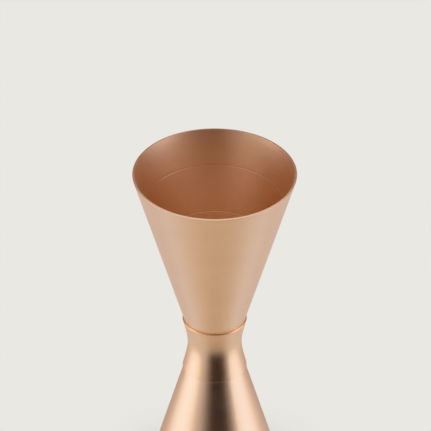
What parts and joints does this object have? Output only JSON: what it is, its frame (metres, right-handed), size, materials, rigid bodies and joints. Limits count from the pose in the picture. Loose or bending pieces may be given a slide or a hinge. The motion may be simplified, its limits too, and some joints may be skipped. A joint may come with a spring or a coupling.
{
  "type": "bar jigger",
  "caption": "Slim double-ended measuring jigger: two conical satin copper cups joined small end to small end by an hourglass collar.",
  "frame": {"origin": "centre of the lower rim, on the surface the jigger stands on", "axes": "+Z along the turning axis, up through the smaller cup, the collar and the larger cup; X and Y are free, because every piece is turned about Z"},
  "size_m": [0.0486, 0.0486, 0.11],
  "materials": {
    "copper_cup": "stainless sheet with satin copper plating, fine lathe-turned grain around the axis",
    "copper_collar": "stainless sleeve with satin copper plating, slightly smoother than the cups",
    "braze": "as-melted brazing filler",
    "weld": "as-welded stainless"
  },
  "bodies": {
    "root": {"upper_cup": "copper_cup", "lower_cup": "copper_cup", "waist_collar": "copper_collar", "upper_braze_ring": "braze", "lower_braze_ring": "braze", "floor_weld": "weld"}
  },
  "joints": []
}
